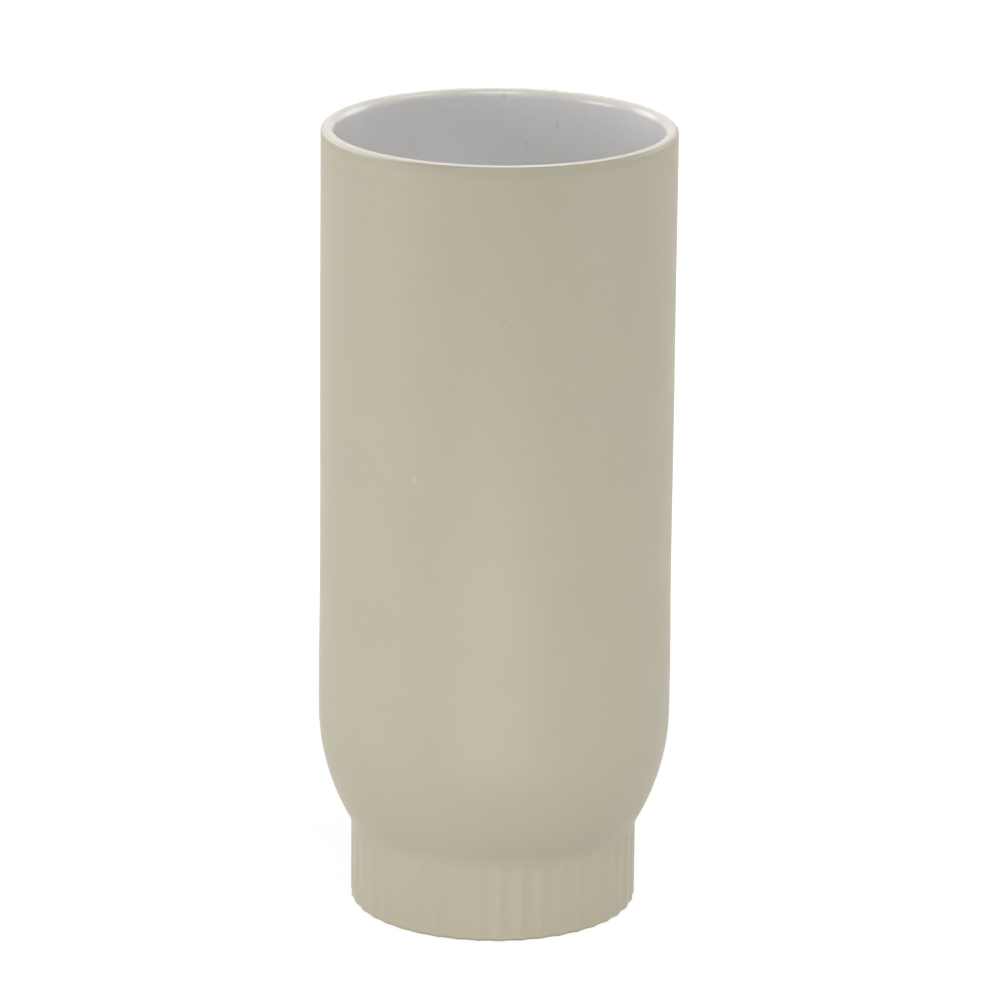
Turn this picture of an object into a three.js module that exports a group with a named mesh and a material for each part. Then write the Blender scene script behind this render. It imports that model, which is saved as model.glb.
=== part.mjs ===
// A stoneware cylinder vase on a fluted foot: two clay pieces luted together with slip,
// a matt glaze coat outside and a gloss glaze lining inside. Millimetres, +Z up.
// The origin is the centre of the surface that the vase stands on.

import * as THREE from "three";

// Finished sizes of the vase
const WALL_RADIUS = 55;
const FOOT_INSET = 10; // how far the foot stands in from the wall
const FOOT_HEIGHT = 26.5; // up to the crease where the foot meets the bowl
const BOWL_HEIGHT = 35.5; // from the crease to where the wall becomes straight
const STRAIGHT_HEIGHT = 188; // from the bowl to the lip

// Clay, slip and glaze
const CLAY_WALL = 3.7;
const COAT = 0.4; // the matt glaze outside
const LINING = 0.4; // the gloss glaze inside
const SEAM = 0.5; // the slip between body and foot
const CREASE_FILLET = 3; // the coat pools in the crease

// The foot
const FLOOR = 5;
const FLOOR_FILLET = 4;
const RECESS = 1.5; // the hollow beneath the floor
const STANDING_RING = 4.5;
const EDGE_ROUND = 0.8;
const BARE_BAND = 0.2; // bare clay between the rounded edge and the coat

// The flutes cut round the foot
const FLUTES = 42;
const FLUTE_DEPTH = 0.5;
const FLUTE_TOP_GAP = 2; // plain band between the flutes and the crease
const FLUTE_RUNOUT = 4; // the flutes fade out over this height
const FLUTE_TURN = THREE.MathUtils.degToRad(3); // from the front to the nearest arris

// Facets
const FLUTE_SIDES = 4;
const PLAIN_SIDES = 2; // for each flute, on the rings that have no flutes
const ARC_STEPS = 5;
const FILLET_STEPS = 2;
const LIP_STEPS = 6;
const COAT_LIP_STEPS = 2; // of the lip's steps, those that the coat covers

// Worked out from the sizes above
const FOOT_RADIUS = WALL_RADIUS - FOOT_INSET;
const BOWL_TOP = FOOT_HEIGHT + BOWL_HEIGHT;
const HEIGHT = BOWL_TOP + STRAIGHT_HEIGHT;
const WALL = COAT + CLAY_WALL + LINING;
const BOWL_RADIUS = (BOWL_HEIGHT ** 2 + FOOT_INSET ** 2) / (2 * FOOT_INSET);
const BOWL_CENTRE = WALL_RADIUS - BOWL_RADIUS;
const LIP_HEIGHT = HEIGHT - WALL / 2;
const CLAY_FOOT_RADIUS = FOOT_RADIUS - COAT;
const CLAY_WELL_RADIUS = CLAY_FOOT_RADIUS - CLAY_WALL;
const FLOOR_HEIGHT = RECESS + FLOOR;
const GLAZE_LINE = EDGE_ROUND + BARE_BAND;
const FLUTE_TOP = FOOT_HEIGHT - FLUTE_TOP_GAP;

// A ring of the surface: its radius and height, and on the foot the depth of its flutes.
function ring(radius, height, flute) {
  return { radius, height, flute };
}

function sidesOf({ radius, flute }) {
  if (radius === 0) return 1;
  return FLUTES * (flute === undefined ? PLAIN_SIDES : FLUTE_SIDES);
}

// Each flute is a shallow arc between two arrises.
function ringPoints(r) {
  const sides = sidesOf(r);
  const depth = r.flute ?? 0;
  return Array.from({ length: sides }, (_, i) => {
    const angle = FLUTE_TURN + (i / sides) * 2 * Math.PI;
    const across = ((i / sides) * FLUTES) % 1;
    const radius = r.radius - depth * (1 - (2 * across - 1) ** 2);
    return [radius * Math.sin(angle), -radius * Math.cos(angle), r.height];
  });
}

// The triangles between two rings, stepping on along the ring that lags. The lower ring comes first
// whichever way the surface is walked, so that two surfaces that touch have the same triangles.
function strip(from, to) {
  const swap = from.height > to.height || (from.height === to.height && from.radius < to.radius);
  const [a, b] = swap ? [to, from] : [from, to];
  const at = (r, i) => r.start + (i % sidesOf(r));
  const total = [a, b].map((r) => (sidesOf(r) === 1 ? 0 : sidesOf(r)));
  const done = [0, 0];
  const triangles = [];
  while (done[0] < total[0] || done[1] < total[1]) {
    const next = done.map((d, k) => (d < total[k] ? (d + 1) / total[k] : Infinity));
    const side = next[0] <= next[1] ? 0 : 1;
    const triangle =
      side === 0
        ? [at(a, done[0]), at(a, done[0] + 1), at(b, done[1])]
        : [at(a, done[0]), at(b, done[1] + 1), at(b, done[1])];
    triangles.push(swap ? triangle.reverse() : triangle);
    done[side] += 1;
  }
  return triangles;
}

// A turned solid from the rings of its outline, walked anticlockwise as seen in section. An outline
// that starts and ends on the axis is whole, and any other closes on its first ring.
function turned(outline) {
  const rings = outline.map((r) => ({ ...r }));
  const points = [];
  for (const r of rings) {
    r.start = points.length;
    points.push(...ringPoints(r));
  }
  const pairs = rings.slice(1).map((r, i) => [rings[i], r]);
  if (rings[0].radius > 0) pairs.push([rings.at(-1), rings[0]]);
  const geometry = new THREE.BufferGeometry();
  geometry.setAttribute("position", new THREE.Float32BufferAttribute(points.flat(), 3));
  geometry.setIndex(pairs.flatMap(([from, to]) => strip(from, to)).flat());
  geometry.computeVertexNormals();
  return geometry;
}

// The bowl, from the straight wall down to where it meets a radius of the foot. Inset is the depth
// below the finished surface.
function bowl(inset, footRadius) {
  const radius = BOWL_RADIUS - inset;
  const last = Math.acos((footRadius - BOWL_CENTRE) / radius);
  return Array.from({ length: ARC_STEPS + 1 }, (_, i) => {
    const angle = (last * i) / ARC_STEPS;
    return ring(BOWL_CENTRE + radius * Math.cos(angle), BOWL_TOP - radius * Math.sin(angle));
  });
}

// The half round of the lip, from its outer radius over the crest to its inner radius.
function lip(outer, inner) {
  const centre = (outer + inner) / 2;
  const radius = (outer - inner) / 2;
  return Array.from({ length: LIP_STEPS + 1 }, (_, i) => {
    const angle = (Math.PI * i) / LIP_STEPS;
    return ring(centre + radius * Math.cos(angle), LIP_HEIGHT + radius * Math.sin(angle));
  });
}

// The fillet inside the foot, from the wall down to the floor.
function floorFillet(inset) {
  const radius = FLOOR_FILLET - inset;
  const centre = CLAY_WELL_RADIUS - FLOOR_FILLET;
  return Array.from({ length: FILLET_STEPS + 1 }, (_, i) => {
    const angle = ((Math.PI / 2) * i) / FILLET_STEPS;
    return ring(centre + radius * Math.cos(angle), FLOOR_HEIGHT + FLOOR_FILLET - radius * Math.sin(angle));
  });
}

// The fillet that the coat makes in the crease, from the foot up to the bowl.
function creaseFillet() {
  const centreRadius = FOOT_RADIUS + CREASE_FILLET;
  const reach = BOWL_RADIUS + CREASE_FILLET;
  const last = Math.acos((centreRadius - BOWL_CENTRE) / reach);
  const centreHeight = BOWL_TOP - reach * Math.sin(last);
  return Array.from({ length: FILLET_STEPS + 1 }, (_, i) => {
    const angle = (last * i) / FILLET_STEPS;
    return ring(
      centreRadius - CREASE_FILLET * Math.cos(angle),
      centreHeight + CREASE_FILLET * Math.sin(angle),
    );
  });
}

// The coat's bowl starts where its fillet ends.
function coatBowl() {
  const end = creaseFillet().at(-1);
  return bowl(0, end.radius).reverse().slice(1);
}

const finishedLip = lip(WALL_RADIUS, WALL_RADIUS - WALL);

// The clay's own surfaces. Each is used by the clay piece and by the glaze that lies on it.
const clayBowl = bowl(COAT, CLAY_FOOT_RADIUS).reverse();
const clayLip = lip(WALL_RADIUS - COAT, WALL_RADIUS - COAT - CLAY_WALL);
const clayBoreBowl = bowl(COAT + CLAY_WALL, CLAY_WELL_RADIUS);
const jointHeight = clayBowl[0].height;
const footTop = jointHeight - SEAM;

const clayFootWall = [
  ring(CLAY_FOOT_RADIUS, GLAZE_LINE, FLUTE_DEPTH),
  ring(CLAY_FOOT_RADIUS, FLUTE_TOP - FLUTE_RUNOUT, FLUTE_DEPTH),
  ring(CLAY_FOOT_RADIUS, FLUTE_TOP, 0),
  ring(CLAY_FOOT_RADIUS, footTop),
];

const clayFloor = [...floorFillet(0), ring(0, FLOOR_HEIGHT)];

function bodyGeometry() {
  return turned([...clayBowl, ...clayLip, ...clayBoreBowl, ring(CLAY_WELL_RADIUS, jointHeight)]);
}

function footGeometry() {
  const edge = CLAY_FOOT_RADIUS - EDGE_ROUND;
  const inner = edge - STANDING_RING;
  const diagonal = EDGE_ROUND * Math.SQRT1_2;
  return turned([
    ring(0, RECESS),
    ring(inner - RECESS, RECESS),
    ring(inner, 0),
    ring(edge, 0, FLUTE_DEPTH),
    ring(edge + diagonal, EDGE_ROUND - diagonal, FLUTE_DEPTH),
    ring(CLAY_FOOT_RADIUS, EDGE_ROUND, FLUTE_DEPTH),
    ...clayFootWall,
    ring(CLAY_WELL_RADIUS, footTop),
    ...clayFloor,
  ]);
}

function seamGeometry() {
  return turned([
    ring(CLAY_WELL_RADIUS, footTop),
    ring(CLAY_FOOT_RADIUS, footTop),
    ring(CLAY_FOOT_RADIUS, jointHeight),
    ring(CLAY_WELL_RADIUS, jointHeight),
  ]);
}

function coatGeometry() {
  const outside = [
    ring(FOOT_RADIUS, GLAZE_LINE + COAT, FLUTE_DEPTH),
    ring(FOOT_RADIUS, FLUTE_TOP - FLUTE_RUNOUT, FLUTE_DEPTH),
    ring(FOOT_RADIUS, FLUTE_TOP, 0),
    ...creaseFillet(),
    ...coatBowl(),
    ...finishedLip.slice(0, COAT_LIP_STEPS + 1),
  ];
  const clay = [...clayFootWall, ...clayBowl, ...clayLip.slice(0, COAT_LIP_STEPS + 1)];
  return turned([...outside, ...clay.reverse()]);
}

function liningGeometry() {
  const well = CLAY_WELL_RADIUS - LINING;
  const inside = [
    ...finishedLip.slice(COAT_LIP_STEPS),
    ...bowl(WALL, well),
    ...floorFillet(LINING),
    ring(0, FLOOR_HEIGHT + LINING),
  ];
  const clay = [
    ...clayLip.slice(COAT_LIP_STEPS),
    ...clayBoreBowl,
    ring(CLAY_WELL_RADIUS, jointHeight),
    ring(CLAY_WELL_RADIUS, footTop),
    ...clayFloor,
  ];
  return turned([...clay.reverse(), ...inside]);
}

function piece(name, geometry, color, roughness) {
  const material = new THREE.MeshStandardMaterial({ color, roughness, metalness: 0 });
  const mesh = new THREE.Mesh(geometry, material);
  mesh.name = name;
  return mesh;
}

const vase = new THREE.Group();
vase.name = "vase";
vase.add(
  piece("stoneware_body", bodyGeometry(), "#cdbfa4", 0.9),
  piece("stoneware_foot", footGeometry(), "#cdbfa4", 0.9),
  piece("slip_seam", seamGeometry(), "#b8a98d", 0.95),
  piece("outer_glaze", coatGeometry(), "#bcb5a5", 0.75),
  piece("lining_glaze", liningGeometry(), "#ece9e2", 0.15),
);

export default vase;
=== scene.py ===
"""A stoneware cylinder vase with a matt coat, a gloss lining and a fluted foot, in metres and +Z up."""

import math
import random

import bpy
from mathutils import Matrix, Vector


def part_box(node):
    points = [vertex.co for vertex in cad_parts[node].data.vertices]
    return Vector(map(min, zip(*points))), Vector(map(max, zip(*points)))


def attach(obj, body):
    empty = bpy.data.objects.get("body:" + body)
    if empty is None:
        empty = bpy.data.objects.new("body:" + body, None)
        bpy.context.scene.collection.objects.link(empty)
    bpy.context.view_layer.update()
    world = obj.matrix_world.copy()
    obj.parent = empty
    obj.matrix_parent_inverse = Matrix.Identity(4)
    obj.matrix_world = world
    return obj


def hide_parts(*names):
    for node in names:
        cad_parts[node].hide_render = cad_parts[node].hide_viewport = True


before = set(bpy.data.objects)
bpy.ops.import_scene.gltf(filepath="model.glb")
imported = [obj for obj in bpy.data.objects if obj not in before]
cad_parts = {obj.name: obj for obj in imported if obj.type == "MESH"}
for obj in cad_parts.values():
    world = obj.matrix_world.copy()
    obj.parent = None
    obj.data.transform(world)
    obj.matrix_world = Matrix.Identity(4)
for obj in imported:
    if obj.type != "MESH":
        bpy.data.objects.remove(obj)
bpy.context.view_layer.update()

# The clay and glaze sizes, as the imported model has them


def radii(node):
    """The least and the greatest distance of a node's points from the vase's axis."""
    found = [math.hypot(v.co.x, v.co.y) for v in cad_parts[node].data.vertices]
    return min(found), max(found)


def lowest_at(node, radius, slack=1e-5):
    """The lowest point of a node that lies as far out as radius."""
    points = [v.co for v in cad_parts[node].data.vertices]
    return min(p.z for p in points if math.hypot(p.x, p.y) > radius - slack)


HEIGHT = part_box("lining_glaze")[1].z
WALL_RADIUS = radii("outer_glaze")[1]
CLAY_RADIUS = radii("stoneware_body")[1]
CLAY_FOOT_RADIUS = radii("stoneware_foot")[1]
CLAY_WELL_RADIUS = radii("slip_seam")[0]
COAT = WALL_RADIUS - CLAY_RADIUS
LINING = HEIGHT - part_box("stoneware_body")[1].z
CLAY_WALL = CLAY_FOOT_RADIUS - CLAY_WELL_RADIUS
WALL = COAT + CLAY_WALL + LINING
FOOT_RADIUS = CLAY_FOOT_RADIUS + COAT
FLOOR_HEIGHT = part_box("lining_glaze")[0].z
FOOT_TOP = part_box("stoneware_foot")[1].z
JOINT_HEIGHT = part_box("stoneware_body")[0].z
BOWL_TOP = lowest_at("outer_glaze", WALL_RADIUS)
DRAWN_IN = CLAY_RADIUS - CLAY_FOOT_RADIUS
CLAY_BOWL_RADIUS = ((BOWL_TOP - JOINT_HEIGHT) ** 2 + DRAWN_IN**2) / (2 * DRAWN_IN)
BOWL_RADIUS = CLAY_BOWL_RADIUS + COAT
BOWL_CENTRE = WALL_RADIUS - BOWL_RADIUS
LIP_HEIGHT = HEIGHT - WALL / 2

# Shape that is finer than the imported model's

CREASE_FILLET = 0.010  # the soft hollow between bowl and foot
NECK_ROUND = 0.004  # inside, where the bowl meets the well of the foot
FLOOR_FILLET = 0.004
EDGE_ROUND = 0.0004
COAT_START = 0.0005  # the coat begins this high, and the clay below it is bare
STANDING_RING = 0.0045
RECESS = 0.0015  # the hollow beneath the floor
BELLY = 0.00026
BELLY_HEIGHT = 0.072
BELLY_REACH = 0.036

LIP_FALLS = (0.0017, 0.0031)  # how far the crest rolls down outside and inside
LIP_EASE = 0.0002  # the bore is this much wider just below the crest
LIP_EASE_REACH = 0.005
LIP_EASE_ANGLE = 0.08
COAT_LIP_ANGLE = math.radians(64)  # how far over the lip the coat reaches
COAT_LIP_WAVE = math.radians(4)
LIP_WAVE_TURNS = (2, 3, 5, 8, 13)  # waves in one turn round the vase

HAND_SEED = 3
HAND_WAVE = 0.00004
HAND_TURNS = (0, 0, 1, 2, 3, 4, 5)
HAND_RATES = (20, 90)  # how fast a wave changes up the wall, in radians for each metre
LINING_HAND_SHARE = 2

FLUTES = 42
FLUTE_DEPTH = 0.0005
FLUTE_TURN = math.radians(3)  # from the front to the nearest arris
FLUTE_STEPS = 12
FLUTE_TOP = JOINT_HEIGHT
FLUTE_RUNOUT = 0.0045
SHALLOW_TURN = math.radians(-60)  # where the flutes are shallowest
SHALLOW_REACH = math.radians(60)
SHALLOW_SHARE = 0.55
FLUTE_HAND_SHARE = 0.12
ARRIS_SOFTNESS_SHARE = 0.1

# How finely the parts of a section are stepped

WALL_STEPS = 60
BOWL_STEPS = 30
CREASE_STEPS = 14
FOOT_STEPS = 40
CLAY_FOOT_STEPS = 30
COAT_LIP_STEPS = 14
LINING_LIP_STEPS = 24
LIP_EASE_STEPS = 10
NECK_STEPS = 8
WELL_STEPS = 10
RECESS_STEPS = 12
EDGE_STEPS = 6
STANDING_EDGE_STEPS = 5

# The same for the surfaces that lie hidden between glaze and clay

UNDER_COAT_LIP_STEPS = 4
UNDER_LINING_LIP_STEPS = 6
UNDER_BOWL_STEPS = 10
UNDER_FOOT_STEPS = 12
UNDER_FILLET_STEPS = 6


def smooth(value):
    """A soft step from 0, where value is 0 or less, to 1, where it is 1 or more."""
    value = min(max(value, 0.0), 1.0)
    return value * value * (3 - 2 * value)


def belly(height):
    """How far the wall swells just above the bowl."""
    return BELLY * smooth(1 - abs(height - BELLY_HEIGHT) / BELLY_REACH)


random.seed(HAND_SEED)
FLUTE_CUTS = [random.uniform(-FLUTE_HAND_SHARE, FLUTE_HAND_SHARE) for _ in range(FLUTES)]
LIP_WAVES = [(turns, random.uniform(0, 2 * math.pi)) for turns in LIP_WAVE_TURNS]
WALL_WAVES = [
    (turns, random.uniform(*HAND_RATES), random.uniform(0, 2 * math.pi)) for turns in HAND_TURNS
]


def coat_edge(angle):
    """How far over the lip the coat reaches, as an angle. Its edge isn't quite even round the vase."""
    wave = sum(math.sin(turns * angle + start) for turns, start in LIP_WAVES) / len(LIP_WAVES)
    return COAT_LIP_ANGLE + COAT_LIP_WAVE * wave


def hand(angle, height):
    """The slight unevenness of a wall that was finished by hand."""
    waves = [math.sin(turns * angle + rate * height + start) for turns, rate, start in WALL_WAVES]
    return HAND_WAVE * sum(waves) / math.sqrt(len(waves))


def flute_share(height):
    """How much of the flutes' depth is left at a height: they run out below the crease."""
    return smooth((FLUTE_TOP - height) / FLUTE_RUNOUT)


def flute_angle(number):
    """The turn from the front to an arris, or to a place between two."""
    return FLUTE_TURN + 2 * math.pi * number / FLUTES


def shallowness(angle):
    """How much of their depth the flutes lack at an angle: they are shallowest on the left."""
    away = math.remainder(angle - SHALLOW_TURN, 2 * math.pi)
    return SHALLOW_SHARE * smooth(1 - abs(away) / SHALLOW_REACH)


def groove(index, across):
    """The depth of flute number index, across it from 0 at one arris to 1 at the next."""
    soft = ARRIS_SOFTNESS_SHARE
    away = math.hypot(min(across, 1 - across), soft) - soft
    reach = math.hypot(0.5, soft) - soft
    deep = 1 - shallowness(flute_angle(index + 0.5)) + FLUTE_CUTS[index]
    return FLUTE_DEPTH * deep * (1 - (1 - away / reach) ** 2)


FLUTED_ANGLES = [
    (flute_angle(index + step / FLUTE_STEPS), groove(index, step / FLUTE_STEPS))
    for index in range(FLUTES)
    for step in range(FLUTE_STEPS)
]
PLAIN_ANGLES = [(angle, 0) for angle, _ in FLUTED_ANGLES]

# Sections. A ring is its radius and height, or a function that gives them for an angle.


def arc(centre, radius, start, end, steps):
    """Rings on a circle in section. Angle 0 points outwards, and a quarter turn points up."""
    turns = [start + (end - start) * i / steps for i in range(steps + 1)]
    return [(centre[0] + radius * math.cos(a), centre[1] + radius * math.sin(a)) for a in turns]


def straight(start, end, steps):
    """Rings from start to end, without the two ends."""
    shares = [i / steps for i in range(1, steps)]
    return [tuple(a + (b - a) * s for a, b in zip(start, end)) for s in shares]


def bowl(inset, foot_radius, steps):
    """The bowl at a depth below the finished surface, from the wall down to a radius of the foot."""
    radius = BOWL_RADIUS - inset
    last = math.acos((foot_radius - BOWL_CENTRE) / radius)
    return arc((BOWL_CENTRE, BOWL_TOP), radius, 0, -last, steps)


def lip(outer, inner, start, end, steps, falls=None):
    """Rings over the lip. An end left as None is the coat's uneven edge. With falls the crest lies at the
    vase's full height and rolls down by them outside and inside, and without them it is a half round."""
    half = (outer - inner) / 2
    top = HEIGHT if falls else LIP_HEIGHT + half

    def ring(share):
        def place(angle):
            a = coat_edge(angle) if start is None else start
            b = coat_edge(angle) if end is None else end
            turn = a + (b - a) * share
            drop = falls[turn > math.pi / 2] if falls else half
            return outer - half + half * math.cos(turn), top - drop * (1 - math.sin(turn))

        return place

    return [ring(i / steps) for i in range(steps + 1)]


def turned(name, outline, angles, fluted=None):
    """A closed solid turned from its section, walked anticlockwise. A section that starts and ends on the
    axis is whole, and any other closes on its first ring. Fluted says which rings are cut."""
    sides = len(angles)
    points, starts, whole = [], [], []
    for ring in outline:
        starts.append(len(points))
        whole.append(not callable(ring) and ring[0] == 0)
        if whole[-1]:
            points.append((0, 0, ring[1]))
            continue
        for angle, depth in angles:
            radius, height = ring(angle) if callable(ring) else ring
            if fluted and fluted(radius, height):
                radius -= depth * flute_share(height)
            points.append((radius * math.sin(angle), -radius * math.cos(angle), height))
    pairs = list(zip(range(len(outline)), range(1, len(outline))))
    if not whole[0]:
        pairs.append((len(outline) - 1, 0))
    faces = []
    for a, b in pairs:
        for i in range(sides):
            j = (i + 1) % sides
            if whole[a]:
                faces.append((starts[a], starts[b] + j, starts[b] + i))
            elif whole[b]:
                faces.append((starts[a] + i, starts[a] + j, starts[b]))
            else:
                faces.append((starts[a] + i, starts[a] + j, starts[b] + j, starts[b] + i))
    mesh = bpy.data.meshes.new(name)
    mesh.from_pydata(points, [], faces)
    mesh.validate()
    mesh.shade_smooth()
    piece = bpy.data.objects.new(name, mesh)
    bpy.context.scene.collection.objects.link(piece)
    return piece


def uneven(ring, share=1):
    """A ring of the finished wall, with a share of the hand's unevenness on it."""
    radius, height = ring
    fade = smooth((height - FOOT_TOP) / CREASE_FILLET) * smooth((LIP_HEIGHT - height) / WALL)
    return lambda angle: (radius + share * fade * hand(angle, height), height)


def make_coat():
    """The matt glaze outside, from its start above the standing edge up to the lip."""
    centre_radius = FOOT_RADIUS + CREASE_FILLET
    reach = BOWL_RADIUS + CREASE_FILLET
    turn = math.acos((centre_radius - BOWL_CENTRE) / reach)
    centre = (centre_radius, BOWL_TOP - reach * math.sin(turn))
    roll = arc((CLAY_FOOT_RADIUS, COAT_START + COAT), COAT, -math.pi / 2, 0, EDGE_STEPS)
    crease = arc(centre, CREASE_FILLET, math.pi, math.pi - turn, CREASE_STEPS)
    foot = straight(roll[-1], crease[0], FOOT_STEPS)
    drawn_in = bowl(0, crease[-1][0], BOWL_STEPS)[::-1][1:]
    wall = straight(drawn_in[-1], (WALL_RADIUS, HEIGHT - LIP_FALLS[0]), WALL_STEPS)
    swollen = [uneven((r + belly(z), z)) for r, z in drawn_in + wall]
    crest = lip(WALL_RADIUS, WALL_RADIUS - WALL + LIP_EASE, 0, None, COAT_LIP_STEPS, LIP_FALLS)
    clay_lip = lip(CLAY_RADIUS, CLAY_RADIUS - CLAY_WALL, None, 0, UNDER_COAT_LIP_STEPS)
    clay_bowl = bowl(COAT, CLAY_FOOT_RADIUS, UNDER_BOWL_STEPS)
    clay_foot = straight(clay_bowl[-1], (CLAY_FOOT_RADIUS, COAT_START), UNDER_FOOT_STEPS)
    outline = roll + foot + crease + swollen + crest + clay_lip + clay_bowl + clay_foot
    return turned("matt_coat", outline, FLUTED_ANGLES, lambda r, z: z < FLUTE_TOP)


def make_lining():
    """The gloss glaze, from the coat's edge on the lip down the inside to the floor."""
    well_radius = CLAY_WELL_RADIUS - LINING
    bore_radius = WALL_RADIUS - WALL
    neck_radius = well_radius + NECK_ROUND
    reach = BOWL_RADIUS - WALL + NECK_ROUND
    turn = math.acos((neck_radius - BOWL_CENTRE) / reach)
    neck_centre = (neck_radius, BOWL_TOP - reach * math.sin(turn))
    floor_centre = (CLAY_WELL_RADIUS - FLOOR_FILLET, FLOOR_HEIGHT + FLOOR_FILLET)
    clay = [(0, FLOOR_HEIGHT)] + arc(floor_centre, FLOOR_FILLET, -math.pi / 2, 0, UNDER_FILLET_STEPS)
    clay += bowl(COAT + CLAY_WALL, CLAY_WELL_RADIUS, UNDER_BOWL_STEPS)[::-1]
    clay += lip(CLAY_RADIUS, CLAY_RADIUS - CLAY_WALL, math.pi, None, UNDER_LINING_LIP_STEPS)
    last = math.pi - LIP_EASE_ANGLE
    crest = lip(WALL_RADIUS, bore_radius + LIP_EASE, None, last, LINING_LIP_STEPS, LIP_FALLS)
    shares = [i / LIP_EASE_STEPS for i in range(1, LIP_EASE_STEPS + 1)]
    eased = [
        (bore_radius + LIP_EASE * (1 - share) ** 2, HEIGHT - LIP_FALLS[1] - LIP_EASE_REACH * share)
        for share in shares
    ]
    drawn_in = arc((BOWL_CENTRE, BOWL_TOP), BOWL_RADIUS - WALL, 0, -turn, BOWL_STEPS)
    wall = eased + straight(eased[-1], drawn_in[0], WALL_STEPS)
    neck = arc(neck_centre, NECK_ROUND, math.pi - turn, math.pi, NECK_STEPS)
    fillet = arc(floor_centre, FLOOR_FILLET - LINING, 0, -math.pi / 2, WELL_STEPS)
    well = straight(neck[-1], fillet[0], WELL_STEPS)
    middle = (0, FLOOR_HEIGHT + LINING)
    floor = straight(fillet[-1], middle, WELL_STEPS) + [middle]
    inside = [uneven(ring, LINING_HAND_SHARE) for ring in wall + drawn_in]
    outline = clay + crest + inside + neck[1:] + well + fillet + floor
    return turned("gloss_lining", outline, PLAIN_ANGLES)


def make_foot():
    """The clay foot, a cup on a bare standing ring with a shallow recess beneath."""
    edge = CLAY_FOOT_RADIUS - EDGE_ROUND
    inner = edge - STANDING_RING
    half = EDGE_ROUND / 2
    floor_centre = (CLAY_WELL_RADIUS - FLOOR_FILLET, FLOOR_HEIGHT + FLOOR_FILLET)
    hollow = inner - RECESS
    recess = [(0, RECESS)] + straight((0, RECESS), (hollow - half, RECESS), RECESS_STEPS)
    recess += arc((hollow - half, RECESS - half), half, math.pi / 2, 0, EDGE_STEPS)
    recess += arc((inner + half, half), half, math.pi, 1.5 * math.pi, STANDING_EDGE_STEPS)
    rim = arc((edge, EDGE_ROUND), EDGE_ROUND, -math.pi / 2, 0, EDGE_STEPS)
    top = (CLAY_FOOT_RADIUS, FOOT_TOP)
    wall = straight(rim[-1], top, CLAY_FOOT_STEPS) + [top, (CLAY_WELL_RADIUS, FOOT_TOP)]
    fillet = arc(floor_centre, FLOOR_FILLET, 0, -math.pi / 2, UNDER_FILLET_STEPS)
    floor = fillet + [(0, FLOOR_HEIGHT)]
    outline = recess + rim + wall + floor
    return turned("clay_foot", outline, FLUTED_ANGLES, lambda r, z: r > edge - EDGE_ROUND)


# Shader building


def add(tree, kind, **settings):
    """A new shader node of a kind, with its settings."""
    node = tree.nodes.new("ShaderNode" + kind)
    for name, value in settings.items():
        setattr(node, name, value)
    return node


def feed(tree, socket, value):
    """Links a socket into another, or sets a plain number, colour or vector there."""
    if isinstance(value, bpy.types.NodeSocket):
        tree.links.new(value, socket)
    else:
        socket.default_value = value


def calc(tree, operation, *values):
    """The result of a calculation on sockets or numbers."""
    node = add(tree, "Math", operation=operation)
    for socket, value in zip(node.inputs, values):
        feed(tree, socket, value)
    return node.outputs[0]


def ramp(tree, value, start, end, low=0.0, high=1.0):
    """A soft step from low, where value is start, to high, where it is end."""
    node = add(tree, "MapRange", interpolation_type="SMOOTHSTEP")
    for name, given in (
        ("Value", value),
        ("From Min", start),
        ("From Max", end),
        ("To Min", low),
        ("To Max", high),
    ):
        feed(tree, node.inputs[name], given)
    return node.outputs["Result"]


def blend(tree, share, under, over):
    """One colour over another."""
    node = add(tree, "Mix", data_type="RGBA")
    for socket, value in ((node.inputs["Factor"], share), (node.inputs[6], under), (node.inputs[7], over)):
        feed(tree, socket, value)
    return node.outputs[2]


def stretch(tree, place, scale):
    """A place scaled along each axis, so that a pattern on it is drawn out or packed closer."""
    node = add(tree, "VectorMath", operation="MULTIPLY")
    feed(tree, node.inputs[0], place)
    node.inputs[1].default_value = scale
    return node.outputs[0]


def noise(tree, place, scale, detail, roughness=0.5):
    """Soft noise about 0.5."""
    node = add(tree, "TexNoise")
    feed(tree, node.inputs["Vector"], place)
    feed(tree, node.inputs["Scale"], scale)
    node.inputs["Detail"].default_value = detail
    node.inputs["Roughness"].default_value = roughness
    return node.outputs[0]


def new_group(name, inputs, outputs):
    """An empty effect group. Inputs are name: (kind, default), and outputs name: kind."""
    tree = bpy.data.node_groups.new(name, "ShaderNodeTree")
    for label, (kind, default) in inputs.items():
        socket = tree.interface.new_socket(label, in_out="INPUT", socket_type="NodeSocket" + kind)
        socket.default_value = default
    for label, kind in outputs.items():
        tree.interface.new_socket(label, in_out="OUTPUT", socket_type="NodeSocket" + kind)
    return tree, tree.nodes.new("NodeGroupInput").outputs, tree.nodes.new("NodeGroupOutput").inputs


def place_group(tree, group, **values):
    """The outputs of an effect group, with the values for its inputs."""
    node = add(tree, "Group", node_tree=group)
    for name, value in values.items():
        feed(tree, node.inputs[name], value)
    return node.outputs


# Effects that several finishes share

ORIGIN = (0, 0, 0)
FINER_PATCHES = 5.3  # how many times finer the second layer of patches is
FINER_SHARE = 0.4
PATCH_RANGE = (0.35, 0.65)
SPECK_CORE = 0.6  # the share of a speck's size that is fully dark
MARK_CORE = 0.35
ALONG_THE_WHEEL = (0.06, 0.06, 1.0)


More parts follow.
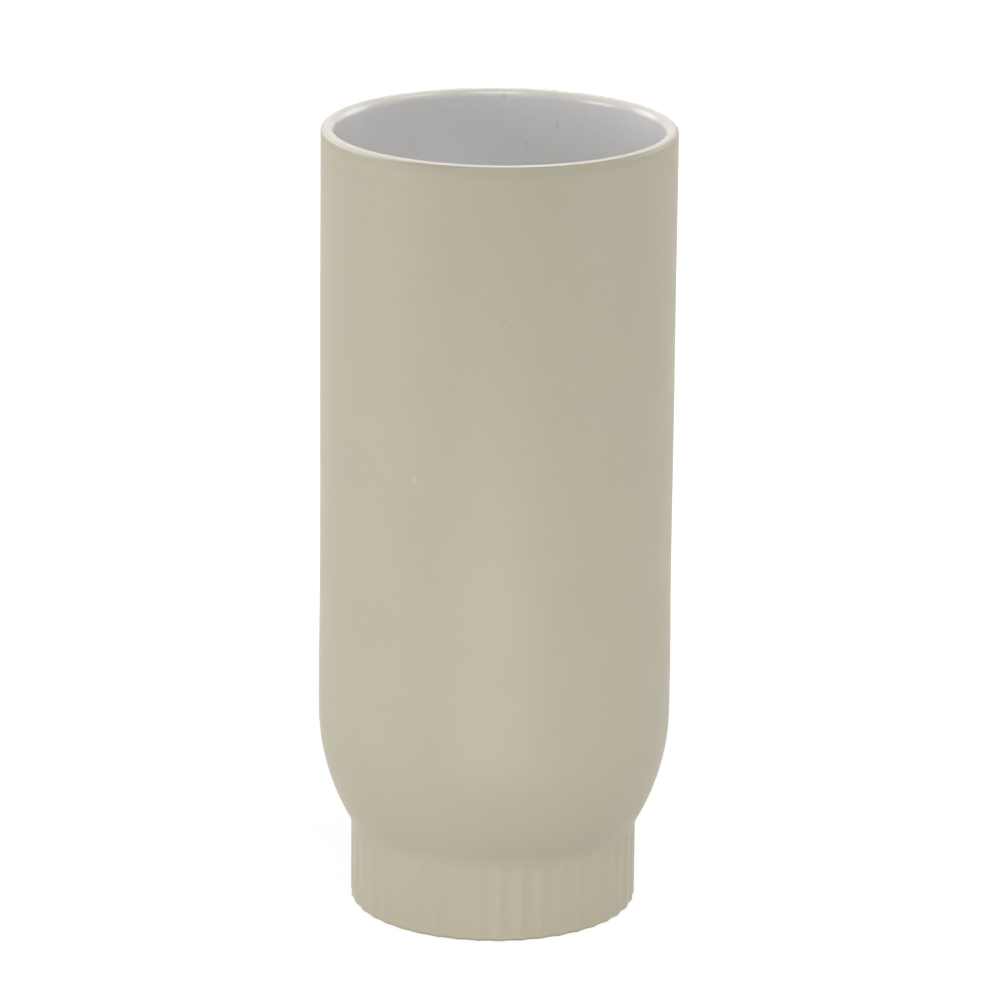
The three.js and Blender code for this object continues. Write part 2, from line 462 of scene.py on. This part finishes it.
def make_mottle():
    """Cloudy patches: a tone about 1 that multiplies a colour, and the patches themselves as a mask."""
    tree, given, out = new_group(
        "mottle",
        {"Place": ("Vector", ORIGIN), "Scale": ("Float", 60.0), "Strength": ("Float", 0.03)},
        {"Tone": "Float", "Mask": "Float"},
    )
    broad = noise(tree, given["Place"], given["Scale"], 3)
    finer = noise(tree, given["Place"], calc(tree, "MULTIPLY", given["Scale"], FINER_PATCHES), 2)
    broad = calc(tree, "MULTIPLY", broad, 1 - FINER_SHARE)
    mask = ramp(tree, calc(tree, "MULTIPLY_ADD", finer, FINER_SHARE, broad), *PATCH_RANGE)
    centred = calc(tree, "SUBTRACT", mask, 0.5)
    feed(tree, out["Tone"], calc(tree, "MULTIPLY_ADD", centred, given["Strength"], 1.0))
    feed(tree, out["Mask"], mask)
    return tree


def make_specks():
    """Scattered round specks: a cell of the given spacing may hold one, and Share says how many do."""
    tree, given, out = new_group(
        "specks",
        {
            "Place": ("Vector", ORIGIN),
            "Spacing": ("Float", 0.006),
            "Size": ("Float", 0.0003),
            "Share": ("Float", 0.2),
        },
        {"Mask": "Float"},
    )
    scale = calc(tree, "DIVIDE", 1.0, given["Spacing"])
    cells = add(tree, "TexVoronoi")
    feed(tree, cells.inputs["Vector"], given["Place"])
    feed(tree, cells.inputs["Scale"], scale)
    chance = add(tree, "SeparateColor")
    feed(tree, chance.inputs[0], cells.outputs["Color"])
    size = calc(tree, "MULTIPLY", calc(tree, "MULTIPLY", given["Size"], scale), chance.outputs[1])
    core = calc(tree, "MULTIPLY", size, SPECK_CORE)
    dot = ramp(tree, cells.outputs["Distance"], core, size, 1.0, 0.0)
    held = calc(tree, "LESS_THAN", chance.outputs[0], given["Share"])
    feed(tree, out["Mask"], calc(tree, "MULTIPLY", dot, held))
    return tree


def make_turning():
    """Faint level lines from the wheel or the sponge, as a height from 0 to 1."""
    tree, given, out = new_group(
        "turning_lines",
        {"Place": ("Vector", ORIGIN), "Spacing": ("Float", 0.002)},
        {"Height": "Float"},
    )
    flat = stretch(tree, given["Place"], ALONG_THE_WHEEL)
    scale = calc(tree, "DIVIDE", 1.0, given["Spacing"])
    feed(tree, out["Height"], noise(tree, flat, scale, 2))
    return tree


def make_grain():
    """The fine tooth of a fired surface, as a height from 0 to 1."""
    tree, given, out = new_group(
        "fired_grain",
        {"Place": ("Vector", ORIGIN), "Size": ("Float", 0.0007)},
        {"Height": "Float"},
    )
    scale = calc(tree, "DIVIDE", 1.0, given["Size"])
    feed(tree, out["Height"], noise(tree, given["Place"], scale, 3, 0.6))
    return tree


def make_mark():
    """One small mark on the glaze about a point of the surface, longer upright where Upright is over 1."""
    tree, given, out = new_group(
        "small_mark",
        {
            "Place": ("Vector", ORIGIN),
            "Centre": ("Vector", ORIGIN),
            "Size": ("Float", 0.0005),
            "Upright": ("Float", 1.0),
        },
        {"Mask": "Float"},
    )
    away = add(tree, "VectorMath", operation="SUBTRACT")
    feed(tree, away.inputs[0], given["Place"])
    feed(tree, away.inputs[1], given["Centre"])
    parts = add(tree, "SeparateXYZ")
    feed(tree, parts.inputs[0], away.outputs[0])
    squares = [calc(tree, "POWER", part, 2.0) for part in parts.outputs[:2]]
    across = calc(tree, "ADD", *squares)
    up = calc(tree, "POWER", calc(tree, "DIVIDE", parts.outputs[2], given["Upright"]), 2.0)
    distance = calc(tree, "SQRT", calc(tree, "ADD", across, up))
    core = calc(tree, "MULTIPLY", given["Size"], MARK_CORE)
    feed(tree, out["Mask"], ramp(tree, distance, core, given["Size"], 1.0, 0.0))
    return tree


MOTTLE = make_mottle()
SPECKS = make_specks()
TURNING = make_turning()
GRAIN = make_grain()
MARK = make_mark()


def finish(name):
    """A new material: its tree, its shader and the object's own coordinates."""
    material = bpy.data.materials.new(name)
    material.use_nodes = True
    tree = material.node_tree
    place = add(tree, "TexCoord").outputs["Object"]
    return material, tree, tree.nodes["Principled BSDF"], place


def sizes_at(tree, place):
    """The radius and the height of a point, and the turn from the front to it."""
    parts = add(tree, "SeparateXYZ")
    feed(tree, parts.inputs[0], place)
    x, y, height = parts.outputs
    squares = calc(tree, "ADD", calc(tree, "POWER", x, 2.0), calc(tree, "POWER", y, 2.0))
    turn = calc(tree, "ARCTAN2", x, calc(tree, "MULTIPLY", y, -1.0))
    return calc(tree, "SQRT", squares), height, turn


def times(tree, color, tone):
    """A colour made lighter or darker by a tone about 1."""
    node = add(tree, "VectorMath", operation="SCALE")
    feed(tree, node.inputs[0], color)
    feed(tree, node.inputs["Scale"], tone)
    return node.outputs[0]


def bumps(tree, shader, *layers):
    """Bump nodes in a row. Each layer is its height and how high it stands in metres."""
    normal = None
    for height, reach in layers:
        node = add(tree, "Bump")
        feed(tree, node.inputs["Height"], height)
        node.inputs["Distance"].default_value = reach
        if normal:
            tree.links.new(normal, node.inputs["Normal"])
        normal = node.outputs[0]
    tree.links.new(normal, shader.inputs["Normal"])


def on_wall(turn_degrees, height, radius=WALL_RADIUS):
    """A point of the wall at a turn from the front towards the right, and a height."""
    turn = math.radians(turn_degrees)
    return radius * math.sin(turn), -radius * math.cos(turn), height


def marks(tree, place, table):
    """The mask of all the marks in a table of centre, size, upright share and strength."""
    total = 0.0
    for centre, size, upright, strength in table:
        mask = place_group(tree, MARK, Place=place, Centre=centre, Size=size, Upright=upright)["Mask"]
        total = calc(tree, "MULTIPLY_ADD", mask, strength, total)
    return total


CREAM = (0.90, 0.85, 0.765, 1)
IRON = (0.09, 0.06, 0.04, 1)  # the dark of a speck

# The coat. Painted shading makes it a little darker under the lip and towards the top, and lighter low down.
# The cream on its crest runs further down on the left, partly as cream glaze and partly as painted light.

COAT_COLOR = (0.500, 0.461, 0.343, 1)
COAT_PAINTED_SHADING_TONES = (1.02, 0.975)  # painted shading at the joint and at the lip: lighter low down, darker towards the lip
# Painted shade: the coat is darker in a band just under the lip.
UNDER_LIP_PAINTED_SHADE = 0.94
PAINTED_SHADE_HEIGHTS = (HEIGHT - WALL, HEIGHT - WALL * 0.4)
CREAM_SHARE = 0.8
CREAM_RUN = 0.0004  # how far below the crest the cream reaches at the front
# On the left, and a little on the right, the cream reaches further down: partly cream glaze, partly painted
# light where the lamps light the rounding.
LEFT_CREAM_AND_PAINTED_LIGHT_RUN = 0.0016
MORE_CREAM_AND_PAINTED_LIGHT_RIGHT = 0.0003
LEFT_RANGE = (-0.3, -0.8)  # as the sine of the turn from the front
RIGHT_RANGE = (0.7, 1.0)
COAT_ROUGHNESS = (0.45, 0.55)
COAT_SHINE = 0.8
COAT_LINES = 0.00003  # how high the turning lines stand
COAT_GRAIN = 0.00002

# The lining. It turns creamy and a little rougher where it rolls over the lip.

INNER_RADIUS = WALL_RADIUS - WALL
LINING_COLOR = (0.85, 0.838, 0.826, 1)
OVER_LIP_RADII = (INNER_RADIUS, WALL_RADIUS - WALL * 0.65)
OVER_LIP_HEIGHTS = (HEIGHT - WALL * 0.7, HEIGHT - WALL * 0.2)
SPECK_STRENGTH = 0.1
LINING_ROUGHNESS = (0.14, 0.2)
LIP_EXTRA_ROUGHNESS = 0.05
LIP_ROUGH_HEIGHTS = (HEIGHT - WALL * 1.5, HEIGHT - WALL * 0.3)
LINING_PEEL = 0.00005
PEEL_SCALE = 160.0

# Fired clay and slip

CLAY_COLOR = (0.46, 0.42, 0.34, 1)
SLIP_COLOR = (0.44, 0.37, 0.28, 1)
DARK_GRAIN_STRENGTH = 0.45
PALE_GRAIN_STRENGTH = 0.35
PALE_GRAIN_STRETCH = (1.1, 0.9, 1.05)  # so that the pale grains don't lie where the dark ones do
CLAY_ROUGHNESS = (0.82, 0.94)
CLAY_SHINE = 0.3
CLAY_LINES = 0.00006
CLAY_GRAIN = 0.00005

# Small marks on the glazes: centre, size, how much longer upright, and strength

PALE_COAT_SPOTS = (
    (on_wall(-27.1, 0.1509), 0.0011, 1.3, 0.13),
    (on_wall(58.6, 0.1593), 0.0010, 1.0, 0.07),
    (on_wall(32.8, 0.1663), 0.0009, 1.0, 0.08),
)
DARK_COAT_SPOTS = ((on_wall(2.0, 0.2025), 0.0009, 1.2, 0.11),)
DARK_LINING_SPOTS = (
    (on_wall(178.7, 0.2481, INNER_RADIUS), 0.0011, 1.6, 0.14),
    (on_wall(159.1, 0.2396, INNER_RADIUS), 0.0010, 2.0, 0.10),
    (on_wall(124.2, 0.2464, INNER_RADIUS), 0.0010, 1.2, 0.08),
    (on_wall(170.2, 0.2327, INNER_RADIUS), 0.0009, 1.6, 0.07),
)


def matt_glaze():
    """The coat: clouded beige that turns creamy at the lip, most of all on the left where that is partly
    painted light, with painted shade under the lip and towards the top.
    """
    material, tree, shader, place = finish("matt_glaze")
    _, height, turn = sizes_at(tree, place)
    clouds = place_group(tree, MOTTLE, Place=place, Scale=45.0, Strength=0.03)
    # Painted shading: the coat's colour is lighter at the joint and the foot and darker towards the lip.
    upwards = ramp(tree, height, JOINT_HEIGHT, HEIGHT, *COAT_PAINTED_SHADING_TONES)
    # Painted shade in a band just under the lip.
    painted_shade_under_lip = ramp(tree, height, *PAINTED_SHADE_HEIGHTS, 1.0, UNDER_LIP_PAINTED_SHADE)
    tone = calc(tree, "MULTIPLY", clouds["Tone"], calc(tree, "MULTIPLY", upwards, painted_shade_under_lip))
    color = times(tree, COAT_COLOR[:3], tone)
    # The cream runs further down on the left and right, partly as cream glaze and partly as painted light.
    sideways = calc(tree, "SINE", turn)
    left_cream_and_light_run = ramp(tree, sideways, *LEFT_RANGE, CREAM_RUN, LEFT_CREAM_AND_PAINTED_LIGHT_RUN)
    right_cream_and_light_run = ramp(tree, sideways, *RIGHT_RANGE, 0.0, MORE_CREAM_AND_PAINTED_LIGHT_RIGHT)
    cream_start = calc(tree, "SUBTRACT", HEIGHT, calc(tree, "ADD", left_cream_and_light_run, right_cream_and_light_run))
    cream = ramp(tree, height, cream_start, HEIGHT - CREAM_RUN / 2)
    color = blend(tree, calc(tree, "MULTIPLY", cream, CREAM_SHARE), color, CREAM)
    color = blend(tree, marks(tree, place, PALE_COAT_SPOTS), color, CREAM)
    color = blend(tree, marks(tree, place, DARK_COAT_SPOTS), color, IRON)
    feed(tree, shader.inputs["Base Color"], color)
    feed(tree, shader.inputs["Roughness"], ramp(tree, clouds["Mask"], 0.0, 1.0, *COAT_ROUGHNESS))
    shader.inputs["Specular IOR Level"].default_value = COAT_SHINE
    grain = place_group(tree, GRAIN, Place=place, Size=0.0008)["Height"]
    lines = place_group(tree, TURNING, Place=place, Spacing=0.004)["Height"]
    bumps(tree, shader, (lines, COAT_LINES), (grain, COAT_GRAIN))
    return material


def gloss_glaze():
    """The lining: white, creamy where it rolls over the lip, with a few faint specks."""
    material, tree, shader, place = finish("gloss_glaze")
    radius, height, _ = sizes_at(tree, place)
    clouds = place_group(tree, MOTTLE, Place=place, Scale=60.0, Strength=0.02)
    color = times(tree, LINING_COLOR[:3], clouds["Tone"])
    outwards = ramp(tree, radius, *OVER_LIP_RADII)
    upwards = ramp(tree, height, *OVER_LIP_HEIGHTS)
    color = blend(tree, calc(tree, "MULTIPLY", outwards, upwards), color, CREAM)
    specks = place_group(tree, SPECKS, Place=place, Spacing=0.012, Size=0.0005, Share=0.3)["Mask"]
    color = blend(tree, calc(tree, "MULTIPLY", specks, SPECK_STRENGTH), color, IRON)
    color = blend(tree, marks(tree, place, DARK_LINING_SPOTS), color, IRON)
    feed(tree, shader.inputs["Base Color"], color)
    rougher = ramp(tree, height, *LIP_ROUGH_HEIGHTS, 0.0, LIP_EXTRA_ROUGHNESS)
    clouded = ramp(tree, clouds["Mask"], 0.0, 1.0, *LINING_ROUGHNESS)
    feed(tree, shader.inputs["Roughness"], calc(tree, "ADD", clouded, rougher))
    bumps(tree, shader, (noise(tree, place, PEEL_SCALE, 2), LINING_PEEL))
    return material


def bare_clay(name, base):
    """Fired clay or slip, with dark and pale grains."""
    material, tree, shader, place = finish(name)
    clouds = place_group(tree, MOTTLE, Place=place, Scale=80.0, Strength=0.10)
    elsewhere = stretch(tree, place, PALE_GRAIN_STRETCH)
    dark = place_group(tree, SPECKS, Place=place, Spacing=0.0022, Size=0.0003, Share=0.35)["Mask"]
    pale = place_group(tree, SPECKS, Place=elsewhere, Spacing=0.0016, Size=0.00025, Share=0.5)["Mask"]
    color = times(tree, base[:3], clouds["Tone"])
    color = blend(tree, calc(tree, "MULTIPLY", dark, DARK_GRAIN_STRENGTH), color, IRON)
    color = blend(tree, calc(tree, "MULTIPLY", pale, PALE_GRAIN_STRENGTH), color, CREAM)
    feed(tree, shader.inputs["Base Color"], color)
    feed(tree, shader.inputs["Roughness"], ramp(tree, clouds["Mask"], 0.0, 1.0, *CLAY_ROUGHNESS))
    shader.inputs["Specular IOR Level"].default_value = CLAY_SHINE
    grain = place_group(tree, GRAIN, Place=place, Size=0.0005)["Height"]
    lines = place_group(tree, TURNING, Place=place, Spacing=0.0015)["Height"]
    bumps(tree, shader, (lines, CLAY_LINES), (grain, CLAY_GRAIN))
    return material


# Camera, floor and light

CAMERA_PLACE = (0.00121, -1.80733, 0.66865)
CAMERA_PITCH = math.radians(16.59)
CAMERA_ROLL = math.radians(0.57)
CAMERA_LENS = 217.37
SENSOR_WIDTH = 36


def make_camera():
    """A long lens that looks down on the vase a little, as in the photo."""
    data = bpy.data.cameras.new("camera")
    data.lens = CAMERA_LENS
    data.sensor_width = SENSOR_WIDTH
    camera = bpy.data.objects.new("camera", data)
    tilt = Matrix.Rotation(math.pi / 2 - CAMERA_PITCH, 4, "X")
    roll = Matrix.Rotation(CAMERA_ROLL, 4, "Z")
    camera.matrix_world = Matrix.Translation(CAMERA_PLACE) @ tilt @ roll
    bpy.context.scene.collection.objects.link(camera)
    bpy.context.scene.camera = camera


def make_lamp(name, place, aim, width, height, power):
    """A flat lamp at a place, facing aim, that the camera doesn't see."""
    data = bpy.data.lights.new(name, "AREA")
    data.shape = "RECTANGLE"
    data.size = width
    data.size_y = height
    data.energy = power
    lamp = bpy.data.objects.new(name, data)
    away = Vector(place) - Vector(aim)
    lamp.matrix_world = Matrix.Translation(place) @ away.to_track_quat("Z", "Y").to_matrix().to_4x4()
    lamp.visible_camera = False
    bpy.context.scene.collection.objects.link(lamp)


def from_vase(turn_degrees, rise_degrees, distance, height):
    """A place in the studio, seen from the vase."""
    turn, rise = math.radians(turn_degrees), math.radians(rise_degrees)
    level = distance * math.cos(rise)
    return level * math.sin(turn), -level * math.cos(turn), height + distance * math.sin(rise)


# Softboxes: turn from the front, rise and power. Those behind light the wall's edges and the crest.

SOFTBOXES = (
    ("front_softbox", 0, 50, 10.8),
    ("left_softbox", -75, 15, 9.6),
    ("right_softbox", 75, 50, 6.4),
    ("back_left_softbox", -125, 20, 7.2),
    ("back_right_softbox", 125, 20, 6.8),
    ("back_softbox", 180, 55, 7.0),
)
SOFTBOX_SIZE = (0.8, 0.8)
SOFTBOX_DISTANCE = 1.8

# White cards that stand close, at the sides and low at the front

CARDS = (("left_card", -60, 0.27), ("right_card", 60, 0.34))
CARD_SIZE = (0.4, 0.15)
CARD_DISTANCE = 0.6
CARD_HEIGHT = 0.14
LOW_CARD_SIZE = (0.3, 0.06)
LOW_CARD_DISTANCE = 0.36
LOW_CARD_HEIGHT = 0.02
LOW_CARD_TURN = 3
LOW_CARD_POWER = 0.285


def make_lights():
    """Softboxes all round and three cards, each aimed at the vase."""
    for name, turn, rise, power in SOFTBOXES:
        place = from_vase(turn, rise, SOFTBOX_DISTANCE, HEIGHT / 2)
        make_lamp(name, place, (0, 0, HEIGHT / 2), *SOFTBOX_SIZE, power)
    for name, turn, power in CARDS:
        place = from_vase(turn, 0, CARD_DISTANCE, CARD_HEIGHT)
        make_lamp(name, place, (0, 0, CARD_HEIGHT), *CARD_SIZE, power)
    place = from_vase(LOW_CARD_TURN, 0, LOW_CARD_DISTANCE, LOW_CARD_HEIGHT)
    make_lamp("low_card", place, (0, 0, LOW_CARD_HEIGHT), *LOW_CARD_SIZE, LOW_CARD_POWER)


def seen_directly(tree):
    """1 where the camera sees a thing itself, in a mirror or through glass, and 0 for the light it gives."""
    path = add(tree, "LightPath").outputs
    seen = calc(tree, "MAXIMUM", path["Is Camera Ray"], path["Is Glossy Ray"])
    return calc(tree, "MAXIMUM", seen, path["Is Transmission Ray"])


def make_world():
    """White where it is seen, also in a reflection. It gives no other light."""
    world = bpy.data.worlds.new("studio")
    world.use_nodes = True
    bpy.context.scene.world = world
    tree = world.node_tree
    tree.nodes.clear()
    background = add(tree, "Background")
    background.inputs["Color"].default_value = (1, 1, 1, 1)
    feed(tree, background.inputs["Strength"], seen_directly(tree))
    tree.links.new(background.outputs[0], add(tree, "OutputWorld").inputs[0])


FLOOR_SIZE = 3.0
FLOOR_GAP = 0.0002
FLOOR_TONE = (0.82, 0.82, 0.82, 1)
FLOOR_ROUGHNESS = 0.9
FLOOR_WHITE = 1.15
SHADOW_SHARE = 0.25  # how much of the floor's own shading shows round the foot
SHADOW_FADE = (0.15, 0.5)  # from the vase's axis


def make_floor():
    """A pale floor that keeps a faint shadow round the foot and can be seen through from below."""
    mesh = bpy.data.meshes.new("floor")
    corners = [(x, y, -FLOOR_GAP) for x, y in ((-1, -1), (1, -1), (1, 1), (-1, 1))]
    mesh.from_pydata([(x * FLOOR_SIZE, y * FLOOR_SIZE, z) for x, y, z in corners], [], [(0, 1, 2, 3)])
    floor = bpy.data.objects.new("floor", mesh)
    bpy.context.scene.collection.objects.link(floor)
    material, tree, shader, place = finish("pale_floor")
    mesh.materials.append(material)
    shader.inputs["Base Color"].default_value = FLOOR_TONE
    shader.inputs["Roughness"].default_value = FLOOR_ROUGHNESS
    shader.inputs["Specular IOR Level"].default_value = 0
    radius, _, _ = sizes_at(tree, place)
    white = add(tree, "Emission")
    white.inputs["Strength"].default_value = FLOOR_WHITE
    share = ramp(tree, radius, *SHADOW_FADE, 1 - SHADOW_SHARE, 1.0)
    mixed = add(tree, "MixShader")
    feed(tree, mixed.inputs[0], calc(tree, "MULTIPLY", share, seen_directly(tree)))
    tree.links.new(shader.outputs[0], mixed.inputs[1])
    tree.links.new(white.outputs[0], mixed.inputs[2])
    clear = add(tree, "BsdfTransparent")
    one_way = add(tree, "MixShader")
    tree.links.new(add(tree, "NewGeometry").outputs["Backfacing"], one_way.inputs[0])
    tree.links.new(mixed.outputs[0], one_way.inputs[1])
    tree.links.new(clear.outputs[0], one_way.inputs[2])
    output = next(node for node in tree.nodes if node.bl_idname == "ShaderNodeOutputMaterial")
    tree.links.new(one_way.outputs[0], output.inputs["Surface"])


make_camera()
clay = bare_clay("bare_clay", CLAY_COLOR)
slip = bare_clay("fired_slip", SLIP_COLOR)
for make, node, slot, material in (
    (make_coat, "outer_glaze", "matt_glaze", matt_glaze()),
    (make_lining, "lining_glaze", "gloss_glaze", gloss_glaze()),
    (make_foot, "stoneware_foot", "stoneware", clay),
):
    piece = make()
    piece.data.materials.append(material)
    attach(piece, "root")
    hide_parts(node)
for node, material in (("stoneware_body", clay), ("slip_seam", slip)):
    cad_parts[node].data.materials.clear()
    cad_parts[node].data.materials.append(material)
make_lights()
make_world()
make_floor()

bpy.context.scene.view_settings.view_transform = "Standard"
